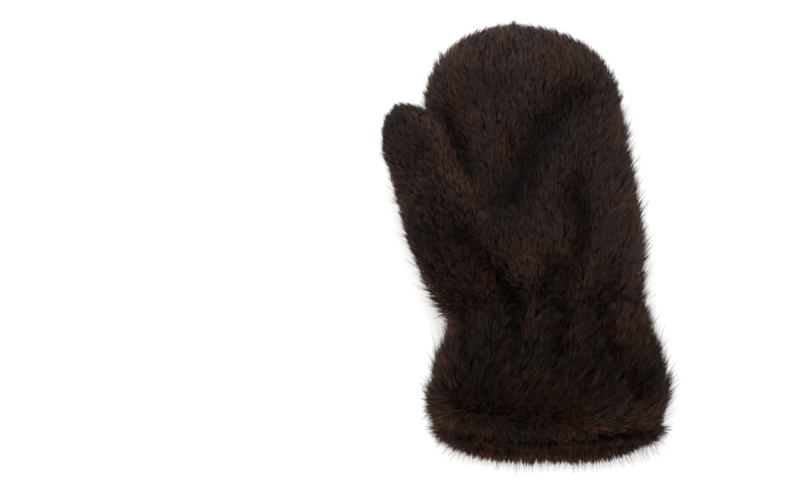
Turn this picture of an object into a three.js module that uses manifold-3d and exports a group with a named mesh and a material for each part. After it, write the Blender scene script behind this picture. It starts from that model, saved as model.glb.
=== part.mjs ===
// A deep-pile fur mitten for the left hand, lying palm up: palm, back, thumb, gathered cuff, turned-in
// hem facing and a plain leather patch. Lengths are in millimetres, +X to the right, +Y to the
// fingertips, +Z up. The shapes are worked out round the middle of the wrist, and the finished group is
// moved so that the origin is the middle of the mitten's footprint.
import * as THREE from 'three';
import { mergeVertices } from 'three/addons/utils/BufferGeometryUtils.js';
import Module from 'manifold-3d';

const wasm = await Module();
wasm.setup();

// Sizes of the backing cloth, measured without the fur.
const handLength = 187;
const handWidth = 123;
const palmRise = 15.5; // palm above the side seam
const backDrop = 13.5; // back below the side seam
const wristWidth = 115;
const wristRise = 10;
const wristDrop = 12;
const cuffLength = 69; // wrist to hem along the side seams
const cuffWidth = 141;
const cuffRise = 18;
const cuffDrop = 13.5;
const thumbLength = 129.5;
const thumbWidth = 41;
const thumbRise = 12.5;
const thumbDrop = 11.5;
const thumbTilt = 21.3; // degrees from the hand's long axis
const backing = 2.5; // thickness of every cloth wall

// Fur, measured from the cloth to the tips of the locks.
const handPile = 9;
const cuffPile = 10;
const thumbPile = 7;
const underPile = 4.5; // pressed flat where the mitten lies on it
const nestPile = 3.4; // squeezed between the thumb and the palm
const pressDepth = 3.7; // fur that hangs this near to the floor lies flat on it

// The wrist seam and the hem are curved lines.
const wristTilt = 8; // higher on the right than on the left
const palmArch = 11;
const backArch = 5;
const cuffLean = 1.2; // the mouth sits this far to the right of the wrist
const palmHemDrop = 8;
const backHemDrop = 20;
const palmHemCurve = 2.5; // more is flatter in the middle
const backHemCurve = 2;
const facingDepth = 24;
const facingReach = 2.5; // how far the facing shows below the cuff
const fringeReach = 6.5; // how far the fur fans out past the hem

const patchWidth = 32;
const patchLength = 22;
const patchThickness = 1.2;
const patchBelowWrist = 24;
const patchShift = -4;
const patchCorner = 2;
const patchBottom = 0.9; // it lies this far above the floor

const foldWidth = 10;
const foldDepth = 6;
const gap = 0.3; // clearance between sewn pieces
const seamAllowance = 1.5; // cloth past the wall's thickness at the wrist seam

// How round the sections are: 2 is an ellipse, and more is nearer to a rectangle.
const topRoundness = 2.1;
const underRoundness = 3.0;

// Locks of fur: how many go round, and how many rows go along.
const bodyLocks = 28;
const thumbLocks = 12;
const handRows = 11;
const fingertipRows = 5;
const cuffRows = 6;
const thumbRows = 5;
const thumbTipRows = 3;

// A lock of fur. Heights are shares of the pile and reaches are shares of the row's length.
const lock = { root: 0.28, rootVaries: 0.08, tip: 0.88, tipVaries: 0.14, valley: 0.5 };
const lockReach = { tip: 0.2, tipVaries: 0.17, valley: -0.16 };
// The fringe at the hem and the ends. Its heights are shares of the pile, its reaches of fringeReach.
const fringe = { tip: 0.5, tipVaries: 0.12, valley: 0.3, start: 0.16 };
const fringeOut = { tip: -1, tipVaries: 0.3, valley: -0.2 };

const seamHeight = backDrop + underPile;
const thumbRootX = -0.43 * wristWidth;
const thumbRootY = 0.08 * handLength;
const thumbLift = 0.42 * palmRise + thumbDrop + nestPile + gap;

// Sections of the hand from the wrist to the start of the rounded fingertips. along is a share of
// handLength and lean of handWidth. spread, rise and drop go from 0, the wrist's size, to 1, the hand's.
const handSections = [
  { along: 0.0, spread: 0.0, lean: -0.005, rise: 0.0, drop: 0.0 },
  { along: 0.09, spread: 0.22, lean: -0.024, rise: 0.5, drop: 0.6 },
  { along: 0.25, spread: 0.92, lean: -0.048, rise: 0.95, drop: 1.0 },
  { along: 0.42, spread: 1.0, lean: -0.088, rise: 1.0, drop: 1.0 },
  { along: 0.57, spread: 0.8, lean: -0.122, rise: 1.0, drop: 1.0 },
  { along: 0.65, spread: 0.69, lean: -0.133, rise: 0.97, drop: 1.0 },
  { along: 0.735, spread: 0.1, lean: -0.141, rise: 0.9, drop: 1.0 },
];
const fingertipLean = -0.175;
const fingertipRoundness = 2.3;

// Sections of the cuff from the hem to the wrist, as shares of cuffLength, with spread, rise and drop
// from 0, the wrist's size, to 1, the cuff's.
const cuffSections = [
  { along: 0.0, spread: 0.8, rise: 0.95, drop: 1.0 },
  { along: 0.14, spread: 0.94, rise: 1.0, drop: 1.0 },
  { along: 0.27, spread: 1.0, rise: 0.97, drop: 1.0 },
  { along: 0.46, spread: 0.78, rise: 0.85, drop: 1.0 },
  { along: 0.62, spread: 0.57, rise: 0.62, drop: 0.9 },
  { along: 0.77, spread: 0.26, rise: 0.34, drop: 0.6 },
  { along: 1.0, spread: 0.0, rise: 0.0, drop: 0.0 },
];

// Sections of the thumb from its root inside the hand. along is a share of thumbLength, half of half
// the thumbWidth, lift of thumbLift, rise of thumbRise and drop of thumbDrop.
const thumbSections = [
  { along: -0.07, half: 0.5, lift: 0.12, rise: 0.2, drop: 0.5 },
  { along: 0.0, half: 0.82, lift: 0.27, rise: 0.5, drop: 0.8 },
  { along: 0.12, half: 0.97, lift: 0.48, rise: 0.85, drop: 0.95 },
  { along: 0.35, half: 1.04, lift: 0.82, rise: 1.0, drop: 1.0 },
  { along: 0.5, half: 0.94, lift: 1.0, rise: 1.0, drop: 1.0 },
  { along: 0.76, half: 0.8, lift: 0.97, rise: 0.92, drop: 0.9 },
];
const thumbTipLift = 0.8;
const thumbTipRoundness = 2.1;

// Valleys pressed into the cloth, on the palm (side 1) or the back (side -1). x is a share of handWidth
// from the middle of the wrist, y of handLength above the wrist or of cuffLength below it, width of
// foldWidth and depth of foldDepth.
const folds = [
  { side: 1, x0: 0.13, y0: 0.78, x1: -0.11, y1: 0.56, width: 1.1, depth: 0.95 },
  { side: 1, x0: -0.11, y0: 0.56, x1: -0.165, y1: 0.4, width: 0.9, depth: 0.75 },
  { side: 1, x0: 0.12, y0: 0.46, x1: 0.17, y1: 0.29, width: 0.75, depth: 0.75 },
  { side: 1, x0: 0.17, y0: 0.29, x1: 0.1, y1: 0.12, width: 0.65, depth: 0.76 },
  { side: 1, x0: -0.43, y0: 0.27, x1: -0.18, y1: 0.08, width: 0.6, depth: 0.88 },
  { side: 1, x0: -0.5, y0: 0.13, x1: -0.27, y1: 0.06, width: 0.5, depth: 0.55 },
  { side: 1, x0: -0.02, y0: 0.06, x1: 0.0, y1: 0.17, width: 0.45, depth: 0.55 },
  { side: 1, x0: 0.32, y0: 0.04, x1: 0.3, y1: 0.15, width: 0.45, depth: 0.55 },
  { side: 1, x0: -0.165, y0: 0.03, x1: -0.19, y1: -0.24, width: 0.45, depth: 0.55 },
  { side: 1, x0: 0.03, y0: 0.05, x1: 0.05, y1: -0.42, width: 0.5, depth: 0.55 },
  { side: 1, x0: 0.21, y0: 0.03, x1: 0.33, y1: -0.48, width: 0.5, depth: 0.55 },
  { side: 1, x0: -0.37, y0: 0.0, x1: -0.38, y1: -0.32, width: 0.45, depth: 0.5 },
  { side: 1, x0: 0.26, y0: -0.55, x1: 0.47, y1: -0.92, width: 0.55, depth: 0.6 },
  { side: -1, x0: -0.33, y0: 0.12, x1: -0.34, y1: -0.34, width: 0.45, depth: 0.55 },
  { side: -1, x0: -0.16, y0: 0.13, x1: -0.15, y1: -0.36, width: 0.45, depth: 0.55 },
  { side: -1, x0: 0.02, y0: 0.12, x1: 0.01, y1: -0.3, width: 0.45, depth: 0.55 },
  { side: -1, x0: 0.2, y0: 0.13, x1: 0.22, y1: -0.36, width: 0.45, depth: 0.55 },
  { side: -1, x0: 0.36, y0: 0.1, x1: 0.38, y1: -0.32, width: 0.45, depth: 0.55 },
];

const mix = (a, b, share) => a + (b - a) * share;
const clamp = (value, low, high) => Math.min(high, Math.max(low, value));
const power = (value, exponent) => Math.sign(value) * Math.abs(value) ** exponent;

// A fixed number from 0 to 1 for each pair of whole numbers.
function scatter(a, b) {
  const wave = Math.sin(a * 12.9898 + b * 78.233) * 43758.5453;
  return wave - Math.floor(wave);
}

// Reads a column of a table at any place along it, on a smooth curve through its rows.
function readTable(table, column, along) {
  const last = table.length - 1;
  const place = clamp(along, table[0].along, table[last].along);
  let i = 0;
  while (i < last - 1 && table[i + 1].along < place) i++;
  const slope = (j) => {
    const a = table[Math.max(j - 1, 0)];
    const b = table[Math.min(j + 1, last)];
    return (b[column] - a[column]) / (b.along - a.along);
  };
  const span = table[i + 1].along - table[i].along;
  const t = (place - table[i].along) / span;
  const start = table[i][column] * (1 + 2 * t) * (1 - t) ** 2 + table[i + 1][column] * t * t * (3 - 2 * t);
  return start + span * (slope(i) * t * (1 - t) ** 2 - slope(i + 1) * t * t * (1 - t));
}

// How far the folds press the cloth in at a place. lift is 1 at the middle of the palm, -1 at the back.
function foldAt(x, y, lift) {
  let depth = 0;
  for (const fold of folds) {
    const weight = clamp((fold.side * lift) / 0.5, 0, 1);
    const yOf = (share) => share * (share < 0 ? cuffLength : handLength);
    const run = new THREE.Vector2((fold.x1 - fold.x0) * handWidth, yOf(fold.y1) - yOf(fold.y0));
    const from = new THREE.Vector2(x - fold.x0 * handWidth, y - yOf(fold.y0));
    const share = clamp(from.dot(run) / run.lengthSq(), 0, 1);
    const away = from.addScaledVector(run, -share).length() / (fold.width * foldWidth);
    depth = Math.max(depth, weight * fold.depth * foldDepth * Math.exp(-2 * away * away));
  }
  return depth;
}

// The round of a section: turn is 0 at the right seam and a quarter turn at the middle of the palm.
function round(half, rise, drop, turn) {
  const up = Math.sin(turn) > 0;
  const exponent = 2 / (up ? topRoundness : underRoundness);
  return {
    across: half * power(Math.cos(turn), exponent),
    above: (up ? rise : drop) * power(Math.sin(turn), exponent),
  };
}

const wristLine = (turn) => {
  const arch = Math.sin(turn) > 0 ? palmArch : backArch;
  return arch * Math.sin(turn) ** 2 + (wristTilt / 2) * Math.cos(turn);
};
const hemLine = (turn) => {
  const [drop, curve] = Math.sin(turn) > 0 ? [palmHemDrop, palmHemCurve] : [backHemDrop, backHemCurve];
  return -cuffLength - drop * (1 - Math.abs(Math.cos(turn)) ** curve);
};

// The cloth of the hand, the cuff and the thumb. along is 0 at the wrist, the hem or the thumb's root.
function handCloth(along, turn) {
  const tipStart = handSections.at(-1).along;
  const read = (column) => readTable(handSections, column, along);
  let half = mix(wristWidth / 2, handWidth / 2, read('spread'));
  let lean = read('lean') * handWidth;
  let rise = mix(wristRise, palmRise, read('rise'));
  let drop = mix(wristDrop, backDrop, read('drop'));
  if (along > tipStart) {
    const k = clamp((along - tipStart) / (1 - tipStart), 0, 1);
    const left = 1 - k ** fingertipRoundness;
    half *= left ** (1 / fingertipRoundness);
    rise *= left ** 0.5;
    drop *= left ** 0.5;
    lean = mix(lean, fingertipLean * handWidth, k * k);
  }
  const { across, above } = round(half, rise, drop, turn);
  return new THREE.Vector3(lean + across, mix(wristLine(turn), handLength, along), seamHeight + above);
}

function cuffCloth(along, turn) {
  const read = (column) => readTable(cuffSections, column, along);
  const half = mix(wristWidth / 2, cuffWidth / 2, read('spread'));
  const rise = mix(wristRise, cuffRise, read('rise'));
  const drop = mix(wristDrop, cuffDrop, read('drop'));
  const lean = mix(handSections[0].lean * handWidth, cuffLean, read('spread'));
  const { across, above } = round(half, rise, drop, turn);
  return new THREE.Vector3(lean + across, mix(hemLine(turn), wristLine(turn), along), seamHeight + above);
}

function thumbCloth(along, turn) {
  const tipStart = thumbSections.at(-1).along;
  const read = (column) => readTable(thumbSections, column, along);
  let half = read('half') * (thumbWidth / 2);
  let lift = read('lift');
  let rise = read('rise') * thumbRise;
  let drop = read('drop') * thumbDrop;
  if (along > tipStart) {
    const k = clamp((along - tipStart) / (1 - tipStart), 0, 1);
    const left = (1 - k ** thumbTipRoundness) ** (1 / thumbTipRoundness);
    half *= left;
    rise *= left;
    drop *= left;
    lift = mix(lift, thumbTipLift, k * k);
  }
  const { across, above } = round(half, rise, drop, turn);
  const tilt = THREE.MathUtils.degToRad(thumbTilt);
  return new THREE.Vector3(
    thumbRootX - Math.sin(tilt) * along * thumbLength + Math.cos(tilt) * across,
    thumbRootY + Math.cos(tilt) * along * thumbLength + Math.sin(tilt) * across,
    seamHeight + lift * thumbLift + above,
  );
}

// Each surface knows its cloth, its pile, and whether the folds reach it. The pile thins out to its
// pressed height under the mitten, and to a share of its height where the piece is gathered or sewn in.
const under = (turn, steepness) => clamp(-steepness * Math.sin(turn), 0, 1);
const gathered = (share, away) => mix(share, 1, clamp(away, 0, 1));
const hand = {
  cloth: handCloth,
  folded: true,
  pile: (along, turn) => mix(handPile, underPile, under(turn, 1.6)) * gathered(0.7, along / 0.12),
};
const cuff = {
  cloth: cuffCloth,
  folded: true,
  pile: (along, turn) => mix(cuffPile, underPile, under(turn, 1.6)) * gathered(0.7, (1 - along) / 0.25),
};
const thumb = {
  cloth: thumbCloth,
  folded: false,
  pile: (along, turn) => mix(thumbPile, nestPile, under(turn, 2))
    * gathered(0.45, (along - thumbSections[0].along) / 0.25),
};

// A point at a height over the cloth, and on along the nap by reach. A level point keeps to its own
// line round the mitten, so that the pieces on both sides of a seam meet evenly.
function furPoint(surface, along, turn, height, reach = 0, level = false) {
  const step = 0.004;
  const place = Math.min(along, 1 - 2 * step);
  const point = surface.cloth(along, turn);
  const nap = surface.cloth(place + step, turn).sub(surface.cloth(place - step, turn));
  const across = surface.cloth(place, turn + step).sub(surface.cloth(place, turn - step));
  const out = nap.clone().cross(across);
  if (level) out.y = 0;
  out.normalize();
  const dent = surface.folded ? foldAt(point.x, point.y, Math.sin(turn)) : 0;
  const pressed = clamp((-out.z - 0.3) / 0.3, 0, 1);
  point.addScaledVector(out, height - dent);
  point.addScaledVector(nap.normalize(), mix(reach, Math.min(reach, 0) - 0.6 * Math.sign(reach), pressed));
  if (height > 0 && !level && point.z < pressDepth) point.z = 0;
  return point;
}

// One ring of points round a surface; heightOf and reachOf say how high and how far on each one is.
function ring(surface, along, count, heightOf, reachOf = () => 0, level = false) {
  const points = [];
  for (let i = 0; i < count; i++) {
    const turn = (2 * Math.PI * i) / count;
    points.push(furPoint(surface, along, turn, heightOf(turn, i), reachOf(i), level));
  }
  return points;
}

// Shingled rows of pointed locks: each row rises from its roots to its tips and falls to the next.
function lockRings(surface, rows, locks) {
  const count = 2 * locks;
  const rings = [];
  rows.slice(0, -1).forEach((along, r) => {
    const next = rows[r + 1];
    const last = r === rows.length - 2;
    const rowLength = surface.cloth(next, 0).distanceTo(surface.cloth(along, 0));
    const isTip = (i) => (i + r) % 2 === 0;
    const low = (i) => lock.root + lock.rootVaries * scatter(r + rows.length, i);
    const high = (i) => (isTip(i) ? lock.tip + lock.tipVaries * scatter(r, i) : lock.valley);
    const reach = (i) => (isTip(i) ? lockReach.tip + lockReach.tipVaries * scatter(i, r) : lockReach.valley);
    const root = (turn, i) => surface.pile(along, turn) * low(i);
    const tip = (turn, i) => surface.pile(next, turn) * high(i);
    rings.push(ring(surface, along, count, root, () => 0, r === 0));
    rings.push(ring(surface, next, count, tip, last ? () => 0 : (i) => reach(i) * rowLength, last));
  });
  return rings;
}

// The tuft that closes a round end: a low ring, then a last ring of tips over the end's middle.
function endTuft(surface, along, count, pile) {
  const low = ring(surface, along, count, () => 0.35 * pile);
  const tip = (i) => (i % 2 ? fringe.valley : fringe.tip + fringe.tipVaries * scatter(i, 5)) * pile;
  const tips = innerRing(low, 0.6).map((p, i) => p.setY(p.y + tip(i)));
  return [innerRing(low, 0.3), tips];
}

// A ring drawn in to the middle of a section, at the same place along the mitten.
function innerRing(points, share) {
  const middle = points.reduce((sum, p) => sum.add(p), new THREE.Vector3()).divideScalar(points.length);
  return points.map((p) => new THREE.Vector3(mix(p.x, middle.x, share), p.y, mix(p.z, middle.z, share)));
}

// The ring that makes a seam's face run straight through the cloth's thickness.
function seamFace(surface, along) {
  return ring(surface, along, bodyCount, () => -backing - seamAllowance, undefined, true);
}

// Joins rings of equally many points into a closed solid. Its ends are closed with fans, or it runs
// back into its first ring.
function loft(rings, endless = false) {
  const count = rings[0].length;
  const points = rings.flat();
  const faces = [];
  const spans = endless ? rings.length : rings.length - 1;
  for (let r = 0; r < spans; r++) {
    const a = r * count;
    const b = ((r + 1) % rings.length) * count;
    for (let i = 0; i < count; i++) {
      const j = (i + 1) % count;
      faces.push([a + i, b + i, a + j], [a + j, b + i, b + j]);
    }
  }
  if (!endless) {
    const ends = [[0, 1], [(rings.length - 1) * count, -1]];
    for (const [start, way] of ends) {
      const middle = new THREE.Vector3();
      for (let i = 0; i < count; i++) middle.addScaledVector(points[start + i], 1 / count);
      points.push(middle);
      for (let i = 0; i < count; i++) {
        const pair = [start + i, start + ((i + 1) % count)];
        faces.push(way > 0 ? [points.length - 1, ...pair] : [points.length - 1, pair[1], pair[0]]);
      }
    }
  }
  return solidFrom(points, faces);
}

function solidFrom(points, faces) {
  let volume = 0;
  for (const [a, b, c] of faces) volume += points[a].dot(points[b].clone().cross(points[c]));
  const outward = volume > 0 ? faces : faces.map(([a, b, c]) => [a, c, b]);
  const mesh = new wasm.Mesh({
    numProp: 3,
    vertProperties: new Float32Array(points.flatMap((p) => p.toArray())),
    triVerts: new Uint32Array(outward.flat()),
  });
  return new wasm.Manifold(mesh);
}

function solidOfGeometry(geometry) {
  geometry.deleteAttribute('normal');
  geometry.deleteAttribute('uv');
  const merged = mergeVertices(geometry, 1e-3);
  return new wasm.Manifold(new wasm.Mesh({
    numProp: 3,
    vertProperties: merged.attributes.position.array,
    triVerts: new Uint32Array(merged.index.array),
  }));
}

function box(x0, x1, y0, y1, z0, z1) {
  const shape = new THREE.BoxGeometry(x1 - x0, y1 - y0, z1 - z0);
  return solidOfGeometry(shape.translate((x0 + x1) / 2, (y0 + y1) / 2, (z0 + z1) / 2));
}

// A cut can leave crumbs of single locks beside the piece itself.
function largestBody(solid) {
  return solid.decompose().sort((a, b) => b.volume() - a.volume())[0];
}

// Places along a surface: even rows up to the start of the round end, then rows that close in on it.
function rowPlaces(start, tipStart, rows, tipRows) {
  const places = [];
  for (let i = 0; i < rows; i++) places.push(mix(start, tipStart, i / rows));
  for (let i = 0; i <= tipRows; i++) {
    places.push(mix(tipStart, 1, Math.sin((i / (tipRows + 0.5)) * (Math.PI / 2))));
  }
  return places;
}

const wristStart = (2 * gap) / handLength;
const handTipStart = handSections.at(-1).along;
const thumbTipStart = thumbSections.at(-1).along;
const bodyCount = 2 * bodyLocks;

// The hand as one hollow sock, open at the wrist, from which the palm and the back are parted.
function handShell() {
  const rows = rowPlaces(wristStart, handTipStart, handRows, fingertipRows);
  const outer = lockRings(hand, rows, bodyLocks);
  const inside = [-0.12, 0, 0.07, 0.15, 0.24, 0.34, 0.45, 0.56, 0.66, 0.75, 0.83, 0.9, 0.955];
  const cavity = inside.map((along) => ring(hand, along, bodyLocks, () => -backing));
  const tuft = endTuft(hand, rows.at(-1), bodyCount, handPile);
  return loft([seamFace(hand, wristStart), ...outer, ...tuft]).subtract(loft(cavity));
}

// The thumb's cloth, its hollow, and the room that it takes up in the palm's fur.
function thumbPieces() {
  const rows = rowPlaces(thumbSections[0].along, thumbTipStart, thumbRows, thumbTipRows);
  const count = 2 * thumbLocks;
  const tuft = endTuft(thumb, rows.at(-1), count, thumbPile);
  const outer = loft([...lockRings(thumb, rows, thumbLocks), ...tuft]);
  const inside = [0.06, 0.14, 0.24, 0.36, 0.5, 0.64, 0.76, 0.86, 0.93];
  const hollow = loft(inside.map((along) => ring(thumb, along, count, () => -backing)));
  const fullPile = (along) => (turn) => 1.12 * thumb.pile(along, turn) + 2 * gap;
  const room = rows.map((along) => ring(thumb, along, count, fullPile(along)));
  const cap = room.at(-1).map((p) => p.clone().add(new THREE.Vector3(0, 0.4 * thumbPile, 0)));
  return { outer, hollow, room: loft([...room, cap]) };
}

// The hand's cloth as a full body: the thumb ends where it meets it.
function handCore() {
  const rows = rowPlaces(wristStart, handTipStart, handRows, fingertipRows);
  return loft(rows.map((along) => ring(hand, along, bodyCount, () => gap)));
}

function cuffShell() {
  const rows = [];
  for (let i = 0; i <= cuffRows; i++) rows.push(mix(fringe.start, 1, i / cuffRows));
  const tips = ring(
    cuff, 0, bodyCount,
    (turn, i) => cuff.pile(0, turn) * (i % 2 ? fringe.valley : fringe.tip + fringe.tipVaries * scatter(i, 7)),
    (i) => (i % 2 ? fringeOut.valley : fringeOut.tip + fringeOut.tipVaries * scatter(i, 3)) * fringeReach,
  );
  const hem = ring(cuff, 0, bodyCount, () => 0, undefined, true);
  const full = ring(cuff, fringe.start / 3, bodyCount, (turn) => 0.8 * cuff.pile(0, turn));
  const outer = [innerRing(hem, 0.6), hem, tips, full, ...lockRings(cuff, rows, bodyLocks)];
  const facingShare = facingDepth / cuffLength;
  const edge = -facingReach / cuffLength;
  const inside = [-0.2, edge, 0, facingShare / 2, facingShare, 0.55, 0.78, 1, 1.2];
  const cavity = inside.map((along) => ring(cuff, along, bodyCount, () => -backing));
  return loft([...outer, seamFace(cuff, 1)]).subtract(loft(cavity));
}

// The strip of fur turned in at the hem, just inside the cuff, with its fur fanning out of the mouth.
function facingRing() {
  const outside = -backing - gap;
  const inside = outside - backing;
  const share = facingDepth / cuffLength;
  const edge = -facingReach / cuffLength;
  const rings = [
    ring(cuff, edge, bodyCount, () => outside),
    ring(cuff, 0, bodyCount, () => outside),
    ring(cuff, share / 2, bodyCount, () => outside),
    ring(cuff, share, bodyCount, () => outside),
    ring(cuff, share, bodyCount, () => inside),
    ring(cuff, share / 2, bodyCount, () => inside),
    ring(cuff, share / 3, bodyCount, (turn, i) => inside - (i % 2 ? 2.6 : 0.4)),
    ring(cuff, edge / 2, bodyCount, (turn, i) => inside - (i % 2 ? 0.5 : 1.6)),
    ring(
      cuff, edge, bodyCount, () => (outside + inside) / 2,
      (i) => (i % 2 ? fringeOut.tip + fringeOut.tipVaries * scatter(i, 11) : fringeOut.valley) * fringeReach,
    ),
  ];
  return loft(rings, true);
}

// The patch lies on the back of the cuff, in a dent that it presses into the fur.
function patchPlate(grow) {
  const outline = new THREE.Shape();
  const w = patchWidth / 2 + grow;
  const l = patchLength / 2 + grow;
  const corner = patchCorner;
  outline.absarc(w - corner, l - corner, corner, 0, Math.PI / 2);
  outline.absarc(corner - w, l - corner, corner, Math.PI / 2, Math.PI);
  outline.absarc(corner - w, corner - l, corner, Math.PI, 1.5 * Math.PI);
  outline.absarc(w - corner, corner - l, corner, 1.5 * Math.PI, 2 * Math.PI);
  const depth = patchThickness + (grow > 0 ? patchBottom + 1 + grow : 0);
  const plate = new THREE.ExtrudeGeometry(outline, { depth, bevelEnabled: false, curveSegments: 3 });
  const y = backArch - patchBelowWrist - patchLength / 2;
  return plate.translate(patchShift, y, grow > 0 ? -1 : patchBottom);
}

// A named mesh of a finished solid.
function mesh(name, solid, colour, roughness) {
  const data = solid.getMesh();
  const geometry = new THREE.BufferGeometry();
  const places = new Float32Array(data.numVert * 3);
  for (let i = 0; i < data.numVert; i++) {
    for (let k = 0; k < 3; k++) places[3 * i + k] = data.vertProperties[i * data.numProp + k];
  }
  geometry.setAttribute('position', new THREE.BufferAttribute(places, 3));
  geometry.setIndex(new THREE.BufferAttribute(data.triVerts, 1));
  geometry.computeVertexNormals();
  const material = new THREE.MeshStandardMaterial({ color: colour, roughness, metalness: 0 });
  const part = new THREE.Mesh(geometry, material);
  part.name = name;
  return part;
}

const reach = 2 * (handLength + handWidth);
const underSeam = box(-reach, reach, -reach, reach, -reach, seamHeight + gap / 2);
const overSeam = box(-reach, reach, -reach, reach, seamHeight - gap / 2, reach);
const shell = handShell();
const thumbParts = thumbPieces();
const palmSolid = shell.subtract(underSeam).subtract(thumbParts.room);
const backSolid = shell.subtract(overSeam);
const thumbSolid = thumbParts.outer.subtract(thumbParts.hollow).subtract(handCore()).subtract(underSeam);
const pocket = solidOfGeometry(patchPlate(gap));

const mitten = new THREE.Group();
mitten.add(mesh('palm_panel', largestBody(palmSolid), 0x3a2620, 0.95));
mitten.add(mesh('back_panel', largestBody(backSolid), 0x3a2620, 0.95));
mitten.add(mesh('thumb', largestBody(thumbSolid), 0x412b22, 0.95));
mitten.add(mesh('cuff', largestBody(cuffShell().subtract(pocket)), 0x3f2820, 0.95));
mitten.add(mesh('hem_facing', largestBody(facingRing()), 0x4a3022, 0.95));
mitten.add(mesh('label_patch', solidOfGeometry(patchPlate(0)), 0x231412, 0.6));

// The origin is the middle of the footprint, on the surface that the mitten lies on.
const bounds = new THREE.Box3().setFromObject(mitten);
const footprint = bounds.getCenter(new THREE.Vector3());
mitten.position.set(-footprint.x, -footprint.y, -bounds.min.z);

export default mitten;
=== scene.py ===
# A deep-pile fur mitten lying palm up on a pale floor, seen from straight above.
# The cloth shells follow the CAD model's own sections, and every strand of fur grows out of them.
import math
from types import SimpleNamespace

import bpy
import numpy as np
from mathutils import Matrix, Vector


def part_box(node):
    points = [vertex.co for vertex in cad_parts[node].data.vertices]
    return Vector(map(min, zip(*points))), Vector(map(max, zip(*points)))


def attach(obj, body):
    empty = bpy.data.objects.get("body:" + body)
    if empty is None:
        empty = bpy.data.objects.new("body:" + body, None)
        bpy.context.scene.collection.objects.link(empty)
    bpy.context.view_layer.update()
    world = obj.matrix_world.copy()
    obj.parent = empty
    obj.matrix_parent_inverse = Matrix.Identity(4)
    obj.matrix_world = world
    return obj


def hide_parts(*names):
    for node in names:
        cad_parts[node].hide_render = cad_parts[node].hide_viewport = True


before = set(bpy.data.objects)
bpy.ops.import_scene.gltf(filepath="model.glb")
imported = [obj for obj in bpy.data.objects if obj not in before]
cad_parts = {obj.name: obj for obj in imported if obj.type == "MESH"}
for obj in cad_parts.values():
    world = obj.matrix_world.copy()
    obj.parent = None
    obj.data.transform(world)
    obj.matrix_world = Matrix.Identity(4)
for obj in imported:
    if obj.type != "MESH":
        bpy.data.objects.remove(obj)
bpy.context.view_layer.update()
mm = 0.001
print("frame loaded:", ", ".join(sorted(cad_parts)))

# Sizes of the backing cloth in millimetres, without its fur.
cloth = {
    "handLength": 187, "handWidth": 124, "palmRise": 15.5, "backDrop": 13.5,
    "wristWidth": 115, "wristRise": 10, "wristDrop": 12,
    "cuffLength": 69, "cuffWidth": 141, "cuffRise": 18, "cuffDrop": 13.5, "cuffLean": 0.2,
    "thumbLength": 129.5, "thumbWidth": 41, "thumbRise": 12.5, "thumbDrop": 11.5, "thumbTilt": 21.3,
    "backing": 2.5, "underPile": 4.5, "nestPile": 3.4, "gap": 0.3,
    "wristTilt": 8, "palmArch": 11, "backArch": 5,
    "palmHemDrop": 5.5, "palmHemCurve": 1.6, "backHemDrop": 18, "backHemCurve": 2.6,
    "facingDepth": 24, "hemThickness": 4.4, "hemReach": 2.8,
    "topRoundness": 2.1, "underRoundness": 3.0,
    "foldWidth": 14, "foldDepth": 9, "foldFade": 0.5,
}
patch = {
    "width": 32, "length": 22, "thickness": 1.2, "belowWrist": 24, "shift": -4, "bottom": 0.9,
    "corner": 2, "edgeRound": 0.3, "stitchInset": 1.4, "channel": 0.45, "channelDepth": 0.12,
    "stitchLength": 2.3, "stitchSpacing": 3.2, "thread": 0.5,
}
seamHeight = cloth["backDrop"] + cloth["underPile"]
thumbLift = 0.42 * cloth["palmRise"] + cloth["thumbDrop"] + cloth["nestPile"] + cloth["gap"]
thumbRoot = (-0.43 * cloth["wristWidth"], 0.08 * cloth["handLength"])
thumbTilt = math.radians(cloth["thumbTilt"])

# The shapes are worked out round the middle of the wrist. The patch shows where that is in the frame.
patchLow, patchHigh = (np.array(corner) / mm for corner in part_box("label_patch"))
patchPlace = np.array([patch["shift"], cloth["backArch"] - patch["belowWrist"] - patch["length"] / 2])
patchHalf = np.array([patch["width"], patch["length"]]) / 2
wristMiddle = np.append((patchLow + patchHigh)[:2] / 2 - patchPlace, 0)

# Sections of the hand from wrist to fingertips, of the cuff from hem to wrist, and of the thumb.
handSections = {
    "along": [0.0, 0.09, 0.25, 0.42, 0.57, 0.65, 0.735],
    "spread": [0.0, 0.22, 0.92, 1.0, 0.8, 0.69, 0.1],
    "lean": [-0.001, -0.02, -0.044, -0.083, -0.117, -0.128, -0.136],
    "rise": [0.0, 0.5, 0.95, 1.0, 1.0, 0.97, 0.9],
    "drop": [0.0, 0.6, 1.0, 1.0, 1.0, 1.0, 1.0],
}
fingertip = {"lean": -0.17, "roundness": 2.2}
cuffSections = {
    "along": [0.0, 0.14, 0.27, 0.46, 0.62, 0.77, 1.0],
    "spread": [0.8, 0.94, 1.0, 0.78, 0.57, 0.26, 0.0],
    "rise": [0.95, 1.0, 0.97, 0.85, 0.62, 0.34, 0.0],
    "drop": [1.0, 1.0, 1.0, 1.0, 0.9, 0.6, 0.0],
}
thumbSections = {
    "along": [-0.07, 0.0, 0.12, 0.35, 0.5, 0.76],
    "half": [0.5, 0.82, 0.97, 1.04, 0.94, 0.8],
    "lift": [0.12, 0.27, 0.48, 0.82, 1.0, 0.97],
    "rise": [0.2, 0.5, 0.85, 1.0, 1.0, 0.92],
    "drop": [0.5, 0.8, 0.95, 1.0, 1.0, 0.9],
}
thumbTip = {"lift": 0.8, "roundness": 2.1}

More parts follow.
